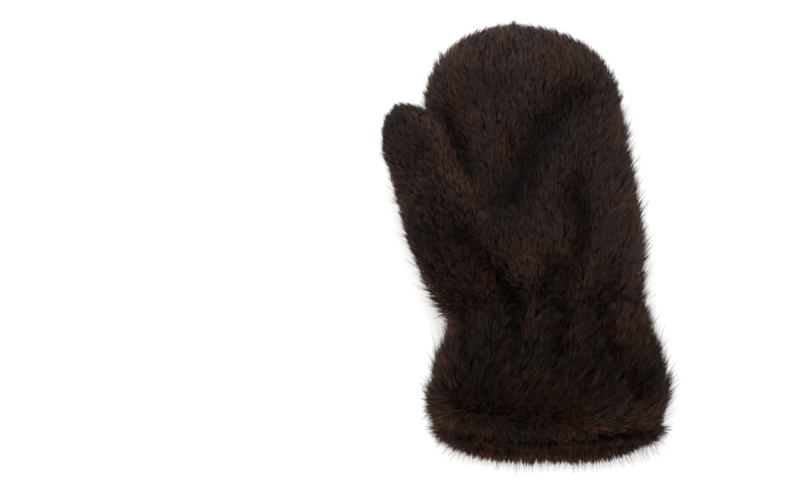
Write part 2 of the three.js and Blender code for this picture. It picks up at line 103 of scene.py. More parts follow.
# Valleys in the cloth: side, from x, from y, to x, to y, width, depth.
folds = [
    (1, 0.10, 0.74, -0.11, 0.56, 1.3, 0.85), (1, -0.11, 0.56, -0.165, 0.4, 1.2, 0.7),
    (1, 0.12, 0.46, 0.17, 0.29, 0.7, 0.7), (1, 0.17, 0.29, 0.1, 0.12, 0.6, 0.76),
    (1, -0.44, 0.3, -0.17, 0.06, 0.72, 1.0), (1, -0.5, 0.11, -0.27, 0.03, 0.35, 0.4),
    (1, -0.51, 0.69, -0.45, 0.54, 0.6, 0.7),
    (1, -0.02, 0.06, 0.0, 0.17, 0.4, 0.7), (1, 0.32, 0.04, 0.3, 0.15, 0.4, 0.6),
    (1, -0.165, 0.03, -0.19, -0.24, 0.42, 0.8), (1, 0.03, 0.05, 0.05, -0.42, 0.45, 0.8),
    (1, 0.21, 0.03, 0.33, -0.48, 0.5, 0.6), (1, -0.46, 0.02, -0.45, -0.3, 0.5, 0.7),
    (1, 0.33, -0.5, 0.44, -0.76, 0.5, 0.35),
    (-1, -0.33, 0.12, -0.34, -0.34, 0.4, 0.6), (-1, -0.16, 0.13, -0.15, -0.36, 0.4, 0.6),
    (-1, 0.02, 0.12, 0.01, -0.3, 0.4, 0.35), (-1, 0.2, 0.13, 0.22, -0.36, 0.4, 0.6),
    (-1, 0.36, 0.1, 0.38, -0.32, 0.4, 0.6),
]


# Camera: the photograph is 800 pixels wide, and one of them is 0.656 mm at the height of the side seam.
photo = {"middleX": -97.1, "middleY": 46.0, "width": 524.8, "distance": 1600, "sensor": 36}
cameraData = bpy.data.cameras.new("camera")
cameraData.sensor_width = photo["sensor"]
cameraData.lens = photo["sensor"] * photo["distance"] / photo["width"]
camera = bpy.data.objects.new("camera", cameraData)
bpy.context.collection.objects.link(camera)
cameraPlace = np.array([photo["middleX"], photo["middleY"], seamHeight + photo["distance"]])
camera.location = (cameraPlace + wristMiddle) * mm
bpy.context.scene.camera = camera


def mix(a, b, share):
    return a + (b - a) * share


def smooth(value, low, high):
    t = np.clip((value - low) / (high - low), 0, 1)
    return t * t * (3 - 2 * t)


def power(value, exponent):
    return np.sign(value) * np.abs(value) ** exponent


def unit(vectors):
    return vectors / np.maximum(np.linalg.norm(vectors, axis=-1, keepdims=True), 1e-9)


def readTable(table, column, along):  # a smooth curve through the rows
    places, values = np.array(table["along"]), np.array(table[column])
    slopes = np.empty_like(values)
    slopes[1:-1] = (values[2:] - values[:-2]) / (places[2:] - places[:-2])
    slopes[0] = (values[1] - values[0]) / (places[1] - places[0])
    slopes[-1] = (values[-1] - values[-2]) / (places[-1] - places[-2])
    place = np.clip(along, places[0], places[-1])
    i = np.clip(np.searchsorted(places, place, side="right") - 1, 0, len(places) - 2)
    span = places[i + 1] - places[i]
    t = (place - places[i]) / span
    value = values[i] * (1 + 2 * t) * (1 - t) ** 2 + values[i + 1] * t * t * (3 - 2 * t)
    return value + span * (slopes[i] * t * (1 - t) ** 2 - slopes[i + 1] * t * t * (1 - t))


# The way to points from the nearest place on a line. Its ends are given in shares of the hand's width, and
# of the hand's length above the wrist or the cuff's below it.
def awayFromLine(x, y, line):
    x0, y0, x1, y1 = line
    start = np.array([x0 * cloth["handWidth"], y0 * cloth["cuffLength" if y0 < 0 else "handLength"]])
    end = np.array([x1 * cloth["handWidth"], y1 * cloth["cuffLength" if y1 < 0 else "handLength"]])
    run = end - start
    share = np.clip(((x - start[0]) * run[0] + (y - start[1]) * run[1]) / run.dot(run), 0, 1)
    return x - start[0] - share * run[0], y - start[1] - share * run[1]


def foldAt(x, y, lift):  # how deep the folds press, as a share of foldDepth
    deepest = np.zeros(np.shape(x))
    for side, *line, width, deep in folds:
        away = np.hypot(*awayFromLine(x, y, line))
        weight = np.clip(side * lift / cloth["foldFade"], 0, 1)
        valley = np.exp(-2 * (away / (width * cloth["foldWidth"])) ** 2)
        deepest = np.maximum(deepest, weight * deep * valley)
    return deepest


def roundSection(half, rise, drop, turn):  # turn is 0 at the right seam, a quarter turn at mid palm
    up = np.sin(turn) > 0
    exponent = np.where(up, 2 / cloth["topRoundness"], 2 / cloth["underRoundness"])
    return half * power(np.cos(turn), exponent), np.where(up, rise, drop) * power(np.sin(turn), exponent)


def wristLine(turn):
    arch = np.where(np.sin(turn) > 0, cloth["palmArch"], cloth["backArch"])
    return arch * np.sin(turn) ** 2 + cloth["wristTilt"] / 2 * np.cos(turn)


def hemLine(turn):
    up = np.sin(turn) > 0
    drop = np.where(up, cloth["palmHemDrop"], cloth["backHemDrop"])
    curve = np.where(up, cloth["palmHemCurve"], cloth["backHemCurve"])
    return -cloth["cuffLength"] - drop * (1 - np.abs(np.cos(turn)) ** curve)


def handCloth(along, turn):
    start = handSections["along"][-1]
    k = np.clip((along - start) / (1 - start), 0, 1)
    left = 1 - k ** fingertip["roundness"]
    half = mix(cloth["wristWidth"], cloth["handWidth"], readTable(handSections, "spread", along)) / 2
    rise = mix(cloth["wristRise"], cloth["palmRise"], readTable(handSections, "rise", along)) * left ** 0.5
    drop = mix(cloth["wristDrop"], cloth["backDrop"], readTable(handSections, "drop", along)) * left ** 0.5
    lean = mix(readTable(handSections, "lean", along), fingertip["lean"], k * k) * cloth["handWidth"]
    across, above = roundSection(half * left ** (1 / fingertip["roundness"]), rise, drop, turn)
    reached = mix(wristLine(turn), cloth["handLength"], along)
    return np.stack([lean + across, reached, seamHeight + above], -1)


def cuffCloth(along, turn):
    spread = readTable(cuffSections, "spread", along)
    half = mix(cloth["wristWidth"], cloth["cuffWidth"], spread) / 2
    rise = mix(cloth["wristRise"], cloth["cuffRise"], readTable(cuffSections, "rise", along))
    drop = mix(cloth["wristDrop"], cloth["cuffDrop"], readTable(cuffSections, "drop", along))
    lean = mix(handSections["lean"][0] * cloth["handWidth"], cloth["cuffLean"], spread)
    across, above = roundSection(half, rise, drop, turn)
    return np.stack([lean + across, mix(hemLine(turn), wristLine(turn), along), seamHeight + above], -1)


def hemFold(along, turn):  # the cloth's turn at the hem, from the facing round to the outside
    edge = cuffCloth(np.zeros(np.shape(turn)), turn)
    step = 0.004
    nap = unit(cuffCloth(np.full(np.shape(turn), step), turn) - edge)
    side = unit(cuffCloth(np.zeros(np.shape(turn)), turn + step) - edge)
    out = unit(np.cross(nap, side))
    sunk = cloth["hemThickness"] / 2 * (1 + np.cos(math.pi * along))
    return edge - out * sunk[..., None] - nap * (cloth["hemReach"] * np.sin(math.pi * along))[..., None]


def thumbCloth(along, turn):
    start = thumbSections["along"][-1]
    k = np.clip((along - start) / (1 - start), 0, 1)
    left = (1 - k ** thumbTip["roundness"]) ** (1 / thumbTip["roundness"])
    half = readTable(thumbSections, "half", along) * cloth["thumbWidth"] / 2 * left
    rise = readTable(thumbSections, "rise", along) * cloth["thumbRise"] * left
    drop = readTable(thumbSections, "drop", along) * cloth["thumbDrop"] * left
    lift = mix(readTable(thumbSections, "lift", along), thumbTip["lift"], k * k)
    across, above = roundSection(half, rise, drop, turn)
    run = along * cloth["thumbLength"]
    return np.stack([
        thumbRoot[0] - math.sin(thumbTilt) * run + math.cos(thumbTilt) * across,
        thumbRoot[1] + math.cos(thumbTilt) * run + math.sin(thumbTilt) * across,
        seamHeight + lift * thumbLift + above,
    ], -1)


# A place on the cloth: the point itself, the way out of the cloth, along it, and round it.
def clothPlace(shape, along, turn, inset=0.0):
    step = 0.004
    inner = np.clip(along, -1, 1 - 2 * step)
    nap = unit(shape(inner + step, turn) - shape(inner - step, turn))
    side = unit(shape(inner, turn + step) - shape(inner, turn - step))
    out = unit(np.cross(nap, side))
    point = shape(along, turn)
    if shape is not thumbCloth:
        x, y, lift = point[..., 0], point[..., 1], np.sin(turn)
        depth = cloth["foldDepth"] * foldAt(x, y, lift)
        slope = np.stack([
            cloth["foldDepth"] * (foldAt(x + 0.5, y, lift) - foldAt(x - 0.5, y, lift)),
            cloth["foldDepth"] * (foldAt(x, y + 0.5, lift) - foldAt(x, y - 0.5, lift)),
            np.zeros(np.shape(x)),
        ], -1)
        point = point - out * depth[..., None]
        out = unit(out + slope)
    return point - out * inset, out, nap, side


# How far points lie from the axis of the hand or thumb: 1 at its cloth with the margin added, less inside.
def tubeShare(points, shape, margin):
    last, farOutside = 0.995, 9  # the tube ends just short of its round tip
    if shape is thumbCloth:
        dx, dy = points[..., 0] - thumbRoot[0], points[..., 1] - thumbRoot[1]
        along = (-math.sin(thumbTilt) * dx + math.cos(thumbTilt) * dy) / cloth["thumbLength"]
        first = thumbSections["along"][0]
    else:
        along = points[..., 1] / cloth["handLength"]
        first = -0.02
    place = np.clip(along, first, last)
    quarters = [np.full(np.shape(place), quarter * math.pi / 2) for quarter in range(4)]
    right, top, left, bottom = (shape(place, turn) for turn in quarters)
    width = (right - left)[..., :2]
    reach = np.linalg.norm(width, axis=-1) + 1e-9
    centre = (right + left) / 2
    offset = points - centre
    sideways = (offset[..., :2] * width).sum(-1) / reach
    above, below = top[..., 2] - right[..., 2], right[..., 2] - bottom[..., 2]
    high = np.where(offset[..., 2] > 0, above, below) + margin
    share = np.hypot(sideways / (reach / 2 + margin), offset[..., 2] / high)
    share = np.where((along > first) & (along < last), share, farOutside)
    outwards = np.concatenate([width / reach[..., None] * sideways[..., None], offset[..., 2:]], -1)
    return share, outwards


def insideTube(points, shape, margin):
    return tubeShare(points, shape, margin)[0] < 1


def pushOut(points, shape, margin):  # moves points that lie in a tube straight out to its surface
    share, outwards = tubeShare(points, shape, margin)
    deepest = 0.4  # points nearer the axis than this move out only part of the way
    further = np.where(share < 1, 1 / np.maximum(share, deepest) - 1, 0)
    return points + outwards * further[..., None]


def toFrame(points):  # millimetres round the wrist to metres in the frame
    return (points + wristMiddle) * mm


def deselectAll():
    bpy.ops.object.select_all(action="DESELECT")


# Materials.
def hexColour(text):  # sRGB hex to linear
    values = [int(text[i:i + 2], 16) / 255 for i in (1, 3, 5)]
    return tuple(v / 12.92 if v <= 0.04045 else ((v + 0.055) / 1.055) ** 2.4 for v in values) + (1.0,)


def addNode(tree, kind, settings=None, inputs=None):
    node = tree.nodes.new(kind)
    for key, value in (settings or {}).items():
        setattr(node, key, value)
    for key, value in (inputs or {}).items():
        if isinstance(value, bpy.types.NodeSocket):
            tree.links.new(value, node.inputs[key])
        else:
            node.inputs[key].default_value = value
    return node


def newMaterial(name, **surface):  # a material with its Principled shader set
    material = bpy.data.materials.new(name)
    material.use_nodes = True
    shader = material.node_tree.nodes["Principled BSDF"]
    for key, value in surface.items():
        shader.inputs[key.replace("_", " ")].default_value = value
    return material, material.node_tree, shader


def setRamp(node, stops):
    ramp = node.color_ramp
    while len(ramp.elements) < len(stops):
        ramp.elements.new(0.5)
    for element, (place, colour) in zip(ramp.elements, stops):
        element.position, element.color = place, hexColour(colour)


# Acrylic pile, knitted in, sheared and tipped. It gives the eye dark roots and soft lighter ends.
def pileMaterial(name, root, middle, coolTip, warmTip, shine):
    material, tree, shader = newMaterial(name, Roughness=shine["roughness"], IOR=1.5,
                                         Specular_IOR_Level=shine["specular"])
    strand = addNode(tree, "ShaderNodeAttribute", {"attribute_name": "strand"})
    parts = addNode(tree, "ShaderNodeSeparateColor", inputs={"Color": strand.outputs["Color"]})
    coolRamp = addNode(tree, "ShaderNodeValToRGB", inputs={"Fac": parts.outputs["Red"]})
    setRamp(coolRamp, [(0.0, root), (0.55, middle), (1.0, coolTip)])
    warmRamp = addNode(tree, "ShaderNodeValToRGB", inputs={"Fac": parts.outputs["Red"]})
    setRamp(warmRamp, [(0.0, root), (0.5, middle), (1.0, warmTip)])
    pile = addNode(tree, "ShaderNodeMix", {"data_type": "RGBA"}, {
        "Factor": parts.outputs["Green"], 6: coolRamp.outputs["Color"], 7: warmRamp.outputs["Color"]})
    # the blue part of the strand colour sets the pile's brightness: random tone together with painted light and
    # shade
    shade = addNode(tree, "ShaderNodeMix", {"data_type": "RGBA", "blend_type": "MULTIPLY"}, {
        "Factor": 1.0, 6: pile.outputs[2], 7: parts.outputs["Blue"]})
    tree.links.new(shade.outputs[2], shader.inputs["Base Color"])
    return material


pileShine = {"roughness": 0.5, "specular": 0.17}
darkPile = pileMaterial("acrylicPileDark", "#0d0908", "#1d1613", "#302928", "#4c3328", pileShine)
hemPile = pileMaterial("acrylicPileHem", "#0b0706", "#1a120e", "#2a2220", "#4e3122", pileShine)


# Knitted polyester backing, dyed dark. It shows only as shadow between the strands.
def knitMaterial():
    knit = {"stitch": 1.4, "depth": 0.25, "dark": "#120c0a", "light": "#211613"}
    material, tree, shader = newMaterial("knittedBacking", Roughness=0.9, IOR=1.5)
    place = addNode(tree, "ShaderNodeTexCoord")
    loops = addNode(tree, "ShaderNodeTexVoronoi", {"feature": "SMOOTH_F1"}, {
        "Vector": place.outputs["Object"], "Scale": 1 / (knit["stitch"] * mm)})
    colour = addNode(tree, "ShaderNodeValToRGB", inputs={"Fac": loops.outputs["Distance"]})
    setRamp(colour, [(0.0, knit["light"]), (0.7, knit["dark"])])
    bump = addNode(tree, "ShaderNodeBump", inputs={
        "Height": loops.outputs["Distance"], "Distance": knit["depth"] * mm, "Strength": 1.0})
    tree.links.new(colour.outputs["Color"], shader.inputs["Base Color"])
    tree.links.new(bump.outputs["Normal"], shader.inputs["Normal"])
    return material


# Cowhide, tanned, embossed with a fine grain and finished with pigment. It gives the eye a dull satin with
# pebbles, paler where it is worn.
def leatherMaterial():
    hide = {
        "pebble": 1.1, "pore": 0.35, "cloud": 9, "depth": 0.22, "valley": 0.18, "poreShare": 0.3,
        "dark": "#160907", "mid": "#26120e", "worn": "#38201a", "wornShare": 0.55,
    }
    material, tree, shader = newMaterial(
        "pigmentedCowhide", Roughness=0.48, IOR=1.5, Specular_IOR_Level=0.11)
    place = addNode(tree, "ShaderNodeTexCoord")
    pebbles = addNode(tree, "ShaderNodeTexVoronoi", {"feature": "DISTANCE_TO_EDGE"}, {
        "Vector": place.outputs["Object"], "Scale": 1 / (hide["pebble"] * mm)})
    pores = addNode(tree, "ShaderNodeTexNoise", inputs={
        "Vector": place.outputs["Object"], "Scale": 1 / (hide["pore"] * mm), "Detail": 3.0})
    cloudy = addNode(tree, "ShaderNodeTexNoise", inputs={
        "Vector": place.outputs["Object"], "Scale": 1 / (hide["cloud"] * mm), "Detail": 4.0})
    valleys = addNode(tree, "ShaderNodeMapRange", inputs={
        "Value": pebbles.outputs["Distance"], "From Max": hide["valley"]})
    # darker in the valleys between the pebbles, where the bump is low: painted shade in the grain's hollows
    colour = addNode(tree, "ShaderNodeValToRGB", inputs={"Fac": valleys.outputs["Result"]})
    setRamp(colour, [(0.0, hide["dark"]), (0.8, hide["mid"])])
    worn = addNode(tree, "ShaderNodeMapRange", inputs={
        "Value": cloudy.outputs["Fac"], "From Min": 0.5, "From Max": 0.75, "To Max": hide["wornShare"]})
    finish = addNode(tree, "ShaderNodeMix", {"data_type": "RGBA"}, {
        "Factor": worn.outputs["Result"], 6: colour.outputs["Color"], 7: hexColour(hide["worn"])})
    height = addNode(tree, "ShaderNodeMath", {"operation": "MULTIPLY_ADD"}, {
        0: pores.outputs["Fac"], 1: hide["poreShare"], 2: valleys.outputs["Result"]})
    bump = addNode(tree, "ShaderNodeBump", inputs={
        "Height": height.outputs["Value"], "Distance": hide["depth"] * mm, "Strength": 0.8})
    gloss = addNode(tree, "ShaderNodeMapRange", inputs={
        "Value": cloudy.outputs["Fac"], "To Min": 0.58, "To Max": 0.38})
    tree.links.new(finish.outputs[2], shader.inputs["Base Color"])
    tree.links.new(gloss.outputs["Result"], shader.inputs["Roughness"])
    tree.links.new(bump.outputs["Normal"], shader.inputs["Normal"])
    return material


# Bonded polyester thread, twisted from three plies. The twist shows as slanting ridges with a faint gleam.
def threadMaterial():
    thread = {"ply": 0.55, "ridge": 0.08, "dark": "#0d0807", "light": "#33221b"}
    material, tree, shader = newMaterial("bondedThread", Roughness=0.55, IOR=1.53)
    place = addNode(tree, "ShaderNodeTexCoord")
    plies = addNode(tree, "ShaderNodeTexWave", {"bands_direction": "DIAGONAL"}, {
        "Vector": place.outputs["Object"], "Scale": 1 / (6 * thread["ply"] * mm), "Distortion": 0.6})
    # darker between the plies and lighter on their ridges: painted shade in the grooves of the twist
    colour = addNode(tree, "ShaderNodeValToRGB", inputs={"Fac": plies.outputs["Fac"]})
    setRamp(colour, [(0.2, thread["dark"]), (0.8, thread["light"])])
    bump = addNode(tree, "ShaderNodeBump", inputs={
        "Height": plies.outputs["Fac"], "Distance": thread["ridge"] * mm})
    tree.links.new(colour.outputs["Color"], shader.inputs["Base Color"])
    tree.links.new(bump.outputs["Normal"], shader.inputs["Normal"])
    return material


backingKnit, patchHide, seamThread = knitMaterial(), leatherMaterial(), threadMaterial()
print("materials ready")


clothLowest = 1.2  # the cloth rests on its pressed fur, this high off the floor


# Cloth shells. A ring is drawn out into a straight tube, pressed to its shape and given its thickness.
def sewTube(name, shape, tube):
    deselectAll()
    columns, rows = tube["columns"], tube["rows"]
    bpy.ops.mesh.primitive_circle_add(vertices=columns, radius=10 * mm, rotation=(math.pi / 2, 0, 0))
    piece = bpy.context.object
    piece.name = piece.data.name = name
    bpy.ops.object.transform_apply(location=True, rotation=True, scale=True)
    bpy.ops.object.mode_set(mode="EDIT")
    bpy.ops.mesh.select_all(action="SELECT")
    for _ in range(rows - 1):
        bpy.ops.mesh.extrude_edges_move(TRANSFORM_OT_translate={"value": (0, mm, 0)})
    bpy.ops.object.mode_set(mode="OBJECT")

    mesh = piece.data
    straight = np.empty(len(mesh.vertices) * 3)
    mesh.vertices.foreach_get("co", straight)
    straight = straight.reshape(-1, 3) / mm
    angle = np.arctan2(straight[:, 2], straight[:, 0])
    turn = np.rint(angle * columns / (2 * math.pi)) * 2 * math.pi / columns
    share = np.rint(straight[:, 1]) / (rows - 1)
    if tube.get("closed"):  # rows crowd in where the end is round
        share = np.sin(share * math.pi / 2)
    inset = tube.get("inset", 0)
    pressed, *_ = clothPlace(shape, mix(tube["start"], tube["end"], share), turn, inset)
    pressed[:, 2] = np.maximum(pressed[:, 2], clothLowest)
    mesh.vertices.foreach_set("co", toFrame(pressed).ravel())

    bpy.ops.object.mode_set(mode="EDIT")
    bpy.ops.mesh.select_mode(type="VERT")
    if "hidden" in tube:  # what lies inside another tube is cut away
        bpy.ops.mesh.select_all(action="DESELECT")
        bpy.ops.object.mode_set(mode="OBJECT")
        mesh.vertices.foreach_set("select", tube["hidden"](pressed))
        bpy.ops.object.mode_set(mode="EDIT")
        bpy.ops.mesh.delete(type="VERT")
    bpy.ops.mesh.select_all(action="SELECT")
    bpy.ops.mesh.remove_doubles(threshold=0.05 * mm)
    bpy.ops.mesh.normals_make_consistent(inside=False)
    bpy.ops.object.mode_set(mode="OBJECT")
    crown, outwards, *_ = clothPlace(shape, np.array([0.5]), np.array([math.pi / 2]), inset)
    nearest = min(mesh.polygons, key=lambda face: (face.center - Vector(toFrame(crown)[0])).length)
    if nearest.normal.dot(Vector(outwards[0])) < 0:
        bpy.ops.object.mode_set(mode="EDIT")
        bpy.ops.mesh.select_all(action="SELECT")
        bpy.ops.mesh.flip_normals()
        bpy.ops.object.mode_set(mode="OBJECT")
    wall = piece.modifiers.new("wall", "SOLIDIFY")
    wall.thickness, wall.offset = tube["wall"] * mm, -1
    bpy.ops.object.modifier_apply(modifier=wall.name)
    bpy.ops.object.shade_smooth()
    piece.data.materials.append(backingKnit)
    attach(piece, "root")
    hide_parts(*tube["nodes"])


wallLeft = 1.6  # cloth walls are drawn thinner than their solids, so that the fur has room
facingInset = cloth["backing"] + cloth["gap"]
facingEnd = cloth["facingDepth"] / cloth["cuffLength"]
sewTube("hand_cloth", handCloth, {
    "columns": 96, "rows": 64, "start": 0.0, "end": 1.0, "closed": True, "wall": wallLeft,
    "slot": "fur", "nodes": ["palm_panel", "back_panel"],
    "hidden": lambda points: insideTube(points, thumbCloth, -3.0) & (points[:, 2] > seamHeight),
})
sewTube("thumb_cloth", thumbCloth, {
    "columns": 48, "rows": 44, "start": -0.07, "end": 1.0, "closed": True, "wall": wallLeft,
    "slot": "fur", "nodes": ["thumb"],
    "hidden": lambda points: insideTube(points, handCloth, -2.5),
})
sewTube("cuff_cloth", cuffCloth, {
    "columns": 96, "rows": 36, "start": 0.0, "end": 1.0, "wall": wallLeft,
    "slot": "fur", "nodes": ["cuff"],
})
sewTube("facing_cloth", cuffCloth, {
    "columns": 96, "rows": 12, "start": 0.0, "end": facingEnd, "wall": wallLeft, "inset": facingInset,
    "slot": "facing_fur", "nodes": ["hem_facing"],
})
sewTube("hem_cloth", hemFold, {
    "columns": 96, "rows": 9, "start": 0.0, "end": 1.0, "wall": 0.8,
    "slot": "facing_fur", "nodes": ["hem_facing"],
})
print("cloth sewn")


# Scatter and noise that give the same numbers each run.
def scatter(cells, salt):  # a fixed number from 0 to 1 for each cell of whole numbers
    mixed = cells[..., 0] * 73856093 ^ cells[..., 1] * 19349663 ^ cells[..., 2] * 83492791 ^ salt * 40503
    mixed = (mixed ^ (mixed >> 13)) * 1274126177 & 0x7FFFFFFF
    mixed = (mixed ^ (mixed >> 15)) * 69069 & 0x7FFFFFFF
    return (mixed >> 7) % 65536 / 65536


def softNoise(points, size, salt):  # smooth noise from 0 to 1, with blobs of this size
    scaled = points / size
    cell = np.floor(scaled).astype(np.int64)
    part = scaled - cell
    part = part * part * (3 - 2 * part)
    total = np.zeros(len(points))
    for corner in np.ndindex(2, 2, 2):
        weight = np.prod(np.where(np.array(corner) == 1, part, 1 - part), axis=-1)
        total += weight * scatter(cell + np.array(corner), salt)
    return total


def nearestLock(points, size, salt):  # the middle and the number of the lock each point belongs to
    base = np.floor(points / size).astype(np.int64)
    best = np.full(len(points), np.inf)
    middle, number = np.zeros_like(points), np.zeros(len(points))
    for offset in np.ndindex(3, 3, 3):
        cell = base + np.array(offset) - 1
        centre = (cell + np.stack([scatter(cell, salt + k) for k in range(3)], -1)) * size
        distance = ((centre - points) ** 2).sum(-1)
        closer = distance < best
        best[closer] = distance[closer]
        middle[closer] = centre[closer]
        number[closer] = scatter(cell, salt + 7)[closer]
    return middle, number


# One strand is modelled as a flat blade of two lengths, drawn to a point, and copied for all the fur.
def modelBlade():
    deselectAll()
    bpy.ops.mesh.primitive_plane_add(size=1)
    blade = bpy.context.object
    bpy.ops.object.mode_set(mode="EDIT")
    bpy.ops.mesh.select_mode(type="EDGE")
    bpy.ops.mesh.select_all(action="DESELECT")
    bpy.ops.object.mode_set(mode="OBJECT")
    for edge in blade.data.edges:
        edge.select = all(blade.data.vertices[v].co.y > 0 for v in edge.vertices)
    bpy.ops.object.mode_set(mode="EDIT")
    bpy.ops.mesh.extrude_edges_move(TRANSFORM_OT_translate={"value": (0, 1, 0)})
    bpy.ops.mesh.merge(type="CENTER")
    bpy.ops.object.mode_set(mode="OBJECT")
    mesh = blade.data
    points = np.array([vertex.co[:] for vertex in mesh.vertices])
    faces = [list(polygon.vertices) for polygon in mesh.polygons]
    bpy.data.objects.remove(blade)
    bpy.data.meshes.remove(mesh)
    points[:, 1] += 0.5  # roots at 0, middle at 1, tip at 2
    return points, faces


bladePoints, bladeFaces = modelBlade()
bladeTaper = np.array([0.75, 1.0, 0.0])  # how wide it is at its root, middle and tip
floorGap = 0.15


# Sets one blade on every root, with its length, direction and colour.
def copyBlades(name, roots, middles, tips, wide, widths, strandColour, material):
    count, corners = len(roots), len(bladePoints)
    length = np.rint(bladePoints[:, 1]).astype(int)
    spine = np.stack([roots, middles, tips], 1)[:, length]
    taper = bladeTaper[length] * bladePoints[:, 0]
    points = spine + wide[:, None, :] * (taper[None, :, None] * widths[:, None, None])
    points[..., 2] = np.maximum(points[..., 2], floorGap)
    mesh = bpy.data.meshes.new(name)
    loops = np.concatenate([np.array(face) for face in bladeFaces])
    starts = np.cumsum([0] + [len(face) for face in bladeFaces])[:-1]
    blades = np.arange(count)[:, None]
    mesh.vertices.add(count * corners)
    mesh.vertices.foreach_set("co", toFrame(points.reshape(-1, 3)).astype(np.float32).ravel())
    mesh.loops.add(count * len(loops))
    mesh.loops.foreach_set("vertex_index", (blades * corners + loops).astype(np.int32).ravel())
    mesh.polygons.add(count * len(bladeFaces))
    mesh.polygons.foreach_set("loop_start", (blades * len(loops) + starts).astype(np.int32).ravel())
    mesh.update(calc_edges=True)
    # strand colour: red runs from root to tip, green is warmth, blue is brightness with painted light and shade
    colours = np.ones((count, corners, 4), np.float32)
    colours[..., 0] = (length / 2)[None, :]
    colours[..., 1] = strandColour[:, None, 0]
    colours[..., 2] = strandColour[:, None, 1]
    layer = mesh.color_attributes.new("strand", "FLOAT_COLOR", "POINT")
    layer.data.foreach_set("color", colours.ravel())
    mesh.shade_smooth()
    piece = bpy.data.objects.new(name, mesh)
    bpy.context.collection.objects.link(piece)
    mesh.materials.append(material)
    return piece


# Noise in the fur: the size of its blobs in millimetres and the salt of its numbers.
noises = {
    "driftX": (11, 31), "driftY": (11, 32), "wave": (22, 3), "ripple": (9, 5),
    "warmth": (14, 71), "cloud": (24, 83), "mottle": (8, 37), "fleck": (11, 91),
}
lockSalts = {"tuft": 11, "lock": 53}
remixes = {"length": 29, "overhang": 17, "fleck": 7, "shade": 13}


def swing(share):  # 0 to 1 becomes -1 to 1
    return 2 * share - 1


def remix(number, use):  # another even spread from 0 to 1, made from the locks' own numbers
    return number * remixes[use] % 1


def readStops(stops, along):  # straight lines between the stops
    return np.interp(along, *zip(*stops))


# Fur at the patch: it takes root a little way in under the edge, is pushed up by the patch, or falls over it.
patchFur = {
    "rootsUnder": 1, "margin": 0.6, "below": 5, "pushedTo": 2.6,
    "overhang": 0.75, "middleOver": 0.3, "tipOver": 0.55,
}


def atPatch(points, margin, below):
    return (np.abs(points[:, :2] - patchPlace) < patchHalf + margin).all(-1) & (points[:, 2] < below)


# Plants strands evenly over a piece of cloth, or thicker where its density says so.
def plantStrands(shape, fur, keepOff, random):
    alongRows, turnRows = 91, 181
    count = fur["strands"] // 1
    alongEdges = np.linspace(fur["start"], fur["end"], alongRows)
    turnEdges = np.linspace(*fur["turns"], turnRows)
    grid = shape(*np.meshgrid(alongEdges, turnEdges, indexing="ij"))
    ways = grid[1:, :-1] - grid[:-1, :-1], grid[:-1, 1:] - grid[:-1, :-1]
    areas = np.linalg.norm(np.cross(*ways), axis=-1)
    areas = areas * readStops(fur["density"], (alongEdges[1:] + alongEdges[:-1]) / 2)[:, None]
    cells = random.choice(areas.size, size=count, p=areas.ravel() / areas.sum())
    alongCell, turnCell = np.unravel_index(cells, areas.shape)
    along = alongEdges[alongCell] + random.random(count) * (alongEdges[1] - alongEdges[0])
    turn = turnEdges[turnCell] + random.random(count) * (turnEdges[1] - turnEdges[0])
    roots, out, nap, side = clothPlace(shape, along, turn, fur["inset"])
    if fur["inward"]:
        out = -out
    keep = ~atPatch(roots, -patchFur["rootsUnder"], seamHeight)
    for tube, margin in keepOff:
        keep &= ~insideTube(roots, tube, margin)
    along, turn, roots, out, nap = (array[keep] for array in (along, turn, roots, out, nap))
    tuftMiddle, tuftNumber = nearestLock(roots, fur["tuft"], lockSalts["tuft"])
    lockMiddle, lockNumber = nearestLock(roots, fur["lock"], lockSalts["lock"])
    return SimpleNamespace(
        count=len(roots), along=along, turn=turn, roots=roots, out=out, nap=nap,
        tuftMiddle=tuftMiddle, tuftNumber=tuftNumber, lockMiddle=lockMiddle, lockNumber=lockNumber,
        fold=foldAt(roots[:, 0], roots[:, 1], np.sin(turn)),
    )


combing = {
    "drift": 9, "stray": 0.9, "strayReach": 7, "nearest": 0.5, "hemSide": 6,
    "stands": 0.6, "standsReach": 5, "ripple": 0.7, "mostSway": 60,
}


# Which way the fur is combed: up the mitten, down past the hem, or away from a wandering parting.
def combStrands(fur, strands, random):
    roots, out, count = strands.roots, strands.out, strands.count
    combed, standing = strands.nap.copy(), np.zeros(count)
    if fur["comb"] == "down":
        combed = -combed
    elif fur["comb"] == "parted":
        driftX, driftY = (
            combing["drift"] * (softNoise(roots, *noises[key]) - 0.5) for key in ("driftX", "driftY"))
        away = np.stack(awayFromLine(roots[:, 0] + driftX, roots[:, 1] + driftY, fur["parting"]), -1)
        distance = np.linalg.norm(away, axis=-1)
        stray = random.standard_normal((count, 2)) * combing["stray"]
        radial = np.zeros_like(roots)
        radial[:, :2] = away / np.maximum(distance, combing["nearest"])[:, None]
        radial[:, :2] += stray * np.exp(-(distance / combing["strayReach"]) ** 2)[:, None]
        share = np.exp(-(distance / fur["partingReach"]) ** 2)
        share = share + smooth(-away[:, 1], -combing["hemSide"], combing["hemSide"])
        combed = mix(combed, radial, np.clip(share, 0, 1)[:, None])
        standing = combing["stands"] * np.exp(-(distance / combing["standsReach"]) ** 2)
    middleX, halfX, strength = fur["fan"]
    combed[:, 0] += strength * np.clip((roots[:, 0] - middleX) / halfX, -1, 1)
    sway = fur["sway"] * swing(softNoise(roots, *noises["wave"]))
    sway += fur["sway"] * combing["ripple"] * swing(softNoise(roots, *noises["ripple"]))
    sway += fur["tuftSway"] * swing(strands.tuftNumber)
    sway += fur["strandSway"] * random.standard_normal(count)
    sway = np.radians(np.clip(sway, -combing["mostSway"], combing["mostSway"]))
    combed = unit(combed - out * (combed * out).sum(-1, keepdims=True))
    combed = unit(combed + np.cross(out, combed) * np.tan(sway)[:, None])
    return combed, standing


